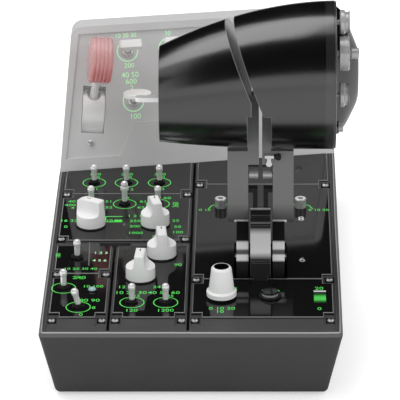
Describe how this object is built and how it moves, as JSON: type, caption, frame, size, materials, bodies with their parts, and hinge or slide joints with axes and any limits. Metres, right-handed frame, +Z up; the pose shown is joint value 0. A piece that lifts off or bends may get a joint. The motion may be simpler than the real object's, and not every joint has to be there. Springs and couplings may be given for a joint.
{
  "type": "throttle quadrant",
  "caption": "Desktop throttle quadrant: two swinging grips on drum-hubbed arms over a deck of toggles and knobs, with a leaning panel and gear lever behind.",
  "frame": {"origin": "centre of the four screw holes in the housing's underside, on that face", "axes": "+X to the pilot's right, +Y away from the pilot, +Z up"},
  "size_m": [0.2211, 0.3717, 0.2496],
  "materials": {
    "housing_grey": "fine textured dark grey paint",
    "module_grey": "satin dark grey paint",
    "panel_gloss": "polished black acrylic with bevelled edges",
    "far_grey": "satin pale grey moulding",
    "screw_steel": "bright button-head screws",
    "toggle_chrome": "polished",
    "bushing_black": "black anodised look, satin",
    "knob_white": "satin white moulding",
    "handle_white": "satin white moulding",
    "shaft_black": "satin black",
    "button_metal": "turned, satin",
    "lamp_clear": "frosted pale lens",
    "drum_steel": "satin, brushed round the rim",
    "arm_grey": "bead-blasted grey anodised",
    "grip_black": "fine-grained soft-touch black",
    "control_silver": "fine blasted silver",
    "gear_metal": "satin",
    "gear_red": "translucent red moulding",
    "foot_rubber": "matt"
  },
  "bodies": {
    "base": {"base_housing": "housing_grey", "foot_pads": "foot_rubber", "module_front_left": "module_grey", "module_front_middle": "module_grey", "module_rear": "module_grey", "module_throttle": "module_grey", "panel_left_front": "panel_gloss", "panel_left_rear": "panel_gloss", "panel_middle": "panel_gloss", "panel_mode": "panel_gloss", "panel_far_left": "panel_gloss", "panel_trim": "panel_gloss", "panel_throttle": "panel_gloss", "panel_far_right": "panel_gloss", "panel_screws": "screw_steel", "far_housing": "far_grey", "toggle_bushings": "bushing_black", "far_bushings": "toggle_chrome", "knob_collars": "bushing_black", "lamp_lens": "lamp_clear", "detent_drum": "drum_steel", "axle": "drum_steel"},
    "throttle_left": {"throttle_arm_left": "arm_grey", "grip_left": "grip_black"},
    "throttle_right": {"throttle_arm_right": "arm_grey", "grip_right": "grip_black", "end_cap": "grip_black"},
    "gear": {"gear_lever": "gear_metal", "gear_wheel": "gear_red"},
    "toggle_far_left": {"toggle_far_left": "toggle_chrome"},
    "toggle_far_middle": {"toggle_far_middle": "toggle_chrome"},
    "toggle_far_right": {"toggle_far_right": "toggle_chrome"},
    "toggle_mode_left": {"toggle_mode_left": "toggle_chrome"},
    "toggle_mode_lock": {"toggle_mode_lock": "toggle_chrome"},
    "toggle_mode_right": {"toggle_mode_right": "toggle_chrome"},
    "toggle_side": {"toggle_side": "toggle_chrome"},
    "toggle_left_rear": {"toggle_left_rear": "toggle_chrome"},
    "toggle_left_front": {"toggle_left_front": "toggle_chrome"},
    "toggle_middle_left": {"toggle_middle_left": "toggle_chrome"},
    "toggle_middle_right": {"toggle_middle_right": "toggle_chrome"},
    "far_toggle_paddle": {"far_toggle_paddle": "handle_white"},
    "far_toggle_disc": {"far_toggle_disc": "handle_white"},
    "far_toggle_flap": {"far_toggle_flap": "handle_white"},
    "knob_mode_left": {"knob_mode_left": "knob_white"},
    "knob_mode_right": {"knob_mode_right": "knob_white"},
    "knob_middle_rear": {"knob_middle_rear": "knob_white"},
    "knob_middle_front": {"knob_middle_front": "knob_white"},
    "trim_shaft": {"trim_shaft": "shaft_black"},
    "trim_knob": {"trim_knob": "knob_white"},
    "reset_button": {"reset_button": "button_metal"},
    "friction_knob_left": {"friction_knob_left": "button_metal"},
    "friction_knob_right": {"friction_knob_right": "button_metal"},
    "finger_lever": {"finger_lever": "toggle_chrome"},
    "link_latch": {"link_latch": "bushing_black"},
    "hat_top": {"hat_top": "control_silver"},
    "hat_low": {"hat_low": "control_silver"},
    "thumb_wheel": {"thumb_wheel": "control_silver"},
    "thumb_stub": {"thumb_stub": "control_silver"},
    "end_button": {"end_button": "control_silver"}
  },
  "joints": [
    {"name": "throttle_left_swing", "type": "hinge", "parent": "base", "child": "throttle_left", "pos_m": [0.0478, -0.0487, 0.0549], "axis": [1, 0, 0], "range_deg": [-32, 32]},
    {"name": "throttle_right_swing", "type": "hinge", "parent": "base", "child": "throttle_right", "pos_m": [0.0478, -0.0487, 0.0549], "axis": [1, 0, 0], "range_deg": [-32, 32]},
    {"name": "toggle_far_left_flip", "type": "hinge", "parent": "base", "child": "toggle_far_left", "pos_m": [-0.0769, 0.0906, 0.0541], "axis": [1, 0, 0], "range_deg": [-12, 12]},
    {"name": "toggle_far_middle_flip", "type": "hinge", "parent": "base", "child": "toggle_far_middle", "pos_m": [-0.0528, 0.0906, 0.0541], "axis": [1, 0, 0], "range_deg": [-12, 12]},
    {"name": "toggle_far_right_flip", "type": "hinge", "parent": "base", "child": "toggle_far_right", "pos_m": [-0.028, 0.0906, 0.0541], "axis": [1, 0, 0], "range_deg": [-12, 12]},
    {"name": "toggle_mode_left_flip", "type": "hinge", "parent": "base", "child": "toggle_mode_left", "pos_m": [-0.0774, 0.0515, 0.0541], "axis": [1, 0, 0], "range_deg": [-12, 12]},
    {"name": "toggle_mode_lock_flip", "type": "hinge", "parent": "base", "child": "toggle_mode_lock", "pos_m": [-0.0527, 0.0515, 0.0541], "axis": [1, 0, 0], "range_deg": [-12, 12]},
    {"name": "toggle_mode_right_flip", "type": "hinge", "parent": "base", "child": "toggle_mode_right", "pos_m": [-0.0281, 0.0515, 0.0541], "axis": [1, 0, 0], "range_deg": [-12, 12]},
    {"name": "toggle_side_flip", "type": "hinge", "parent": "base", "child": "toggle_side", "pos_m": [-0.0832, -0.0434, 0.0541], "axis": [1, 0, 0], "range_deg": [-12, 12]},
    {"name": "toggle_left_rear_flip", "type": "hinge", "parent": "base", "child": "toggle_left_rear", "pos_m": [-0.0904, -0.0933, 0.0541], "axis": [1, 0, 0], "range_deg": [-12, 12]},
    {"name": "toggle_left_front_flip", "type": "hinge", "parent": "base", "child": "toggle_left_front", "pos_m": [-0.0787, -0.1241, 0.0541], "axis": [0, 1, 0], "range_deg": [0, 28]},
    {"name": "toggle_middle_left_flip", "type": "hinge", "parent": "base", "child": "toggle_middle_left", "pos_m": [-0.0417, -0.1166, 0.0541], "axis": [1, 0, 0], "range_deg": [-12, 12]},
    {"name": "toggle_middle_right_flip", "type": "hinge", "parent": "base", "child": "toggle_middle_right", "pos_m": [-0.0182, -0.1166, 0.0541], "axis": [1, 0, 0], "range_deg": [-12, 12]},
    {"name": "far_toggle_paddle_flip", "type": "hinge", "parent": "base", "child": "far_toggle_paddle", "pos_m": [-0.053, 0.1581, 0.13124], "axis": [0.9848, 0.1736, 0], "range_deg": [0, 26]},
    {"name": "far_toggle_disc_flip", "type": "hinge", "parent": "base", "child": "far_toggle_disc", "pos_m": [-0.04843, 0.14252, 0.09662], "axis": [0.9848, 0.1736, 0], "range_deg": [0, 24]},
    {"name": "far_toggle_flap_flip", "type": "hinge", "parent": "base", "child": "far_toggle_flap", "pos_m": [-0.0214, 0.16372, 0.13133], "axis": [0.9848, 0.1736, 0], "range_deg": [0, 26]},
    {"name": "knob_mode_left_turn", "type": "hinge", "parent": "base", "child": "knob_mode_left", "pos_m": [-0.0759, 0.0127, 0.0522], "axis": [0, 0, 1], "range_deg": [-120, 120]},
    {"name": "knob_mode_right_turn", "type": "hinge", "parent": "base", "child": "knob_mode_right", "pos_m": [-0.0291, 0.0137, 0.0522], "axis": [0, 0, 1], "range_deg": [-120, 120]},
    {"name": "knob_middle_rear_turn", "type": "hinge", "parent": "base", "child": "knob_middle_rear", "pos_m": [-0.0229, -0.0401, 0.0522], "axis": [0, 0, 1], "range_deg": [-120, 120]},
    {"name": "knob_middle_front_turn", "type": "hinge", "parent": "base", "child": "knob_middle_front", "pos_m": [-0.0369, -0.0777, 0.0522], "axis": [0, 0, 1], "range_deg": [-120, 120]},
    {"name": "trim_push", "type": "slide", "parent": "base", "child": "trim_shaft", "axis": [0, 0, -1], "range_m": [0, 0.0015], "stiffness_N_per_m": 300, "springref_m": -0.0006},
    {"name": "trim_turn", "type": "hinge", "parent": "trim_shaft", "child": "trim_knob", "pos_m": [0.0206, -0.1088, 0.0522], "axis": [0, 0, 1], "range_deg": [-140, 140]},
    {"name": "reset_press", "type": "slide", "parent": "base", "child": "reset_button", "axis": [0, 0, -1], "range_m": [0, 0.0012], "stiffness_N_per_m": 250, "springref_m": -0.0006},
    {"name": "friction_knob_left_turn", "type": "hinge", "parent": "base", "child": "friction_knob_left", "pos_m": [0.0183, 0.044, 0.0522], "axis": [0, 0, 1], "range_deg": [-150, 150]},
    {"name": "friction_knob_right_turn", "type": "hinge", "parent": "base", "child": "friction_knob_right", "pos_m": [0.0772, 0.044, 0.0522], "axis": [0, 0, 1], "range_deg": [-150, 150]},
    {"name": "gear_swing", "type": "hinge", "parent": "base", "child": "gear", "pos_m": [-0.08207, 0.1548, 0.08185], "axis": [0.9864, 0.1216, -0.1105], "range_deg": [0, 55]},
    {"name": "finger_lift", "type": "hinge", "parent": "throttle_left", "child": "finger_lever", "pos_m": [-0.0198, -0.0487, 0.177], "axis": [0, 1, 0], "range_deg": [0, 12], "stiffness_Nm_per_rad": 0.3, "springref_deg": -5.73},
    {"name": "link_latch_swing", "type": "hinge", "parent": "throttle_right", "child": "link_latch", "pos_m": [0.0538, -0.0495, 0.1282], "axis": [0, -1, 0], "range_deg": [0, 50]},
    {"name": "hat_top_tilt", "type": "hinge", "parent": "throttle_right", "child": "hat_top", "pos_m": [0.1005, -0.0605, 0.2388], "axis": [0, 1, 0], "range_deg": [-8, 8], "stiffness_Nm_per_rad": 0.15},
    {"name": "hat_low_tilt", "type": "hinge", "parent": "throttle_right", "child": "hat_low", "pos_m": [0.1005, -0.067, 0.1875], "axis": [0, 0, 1], "range_deg": [-8, 8], "stiffness_Nm_per_rad": 0.15},
    {"name": "thumb_wheel_turn", "type": "hinge", "parent": "throttle_right", "child": "thumb_wheel", "pos_m": [0.1002, -0.067, 0.2184], "axis": [1, 0, 0], "range_deg": [-140, 140]},
    {"name": "thumb_stub_press", "type": "slide", "parent": "thumb_wheel", "child": "thumb_stub", "axis": [-1, 0, 0], "range_m": [0, 0.001], "stiffness_N_per_m": 250, "springref_m": -0.0006},
    {"name": "end_button_press", "type": "slide", "parent": "throttle_right", "child": "end_button", "axis": [-1, 0, 0], "range_m": [0, 0.001], "stiffness_N_per_m": 250, "springref_m": -0.0006}
  ]
}
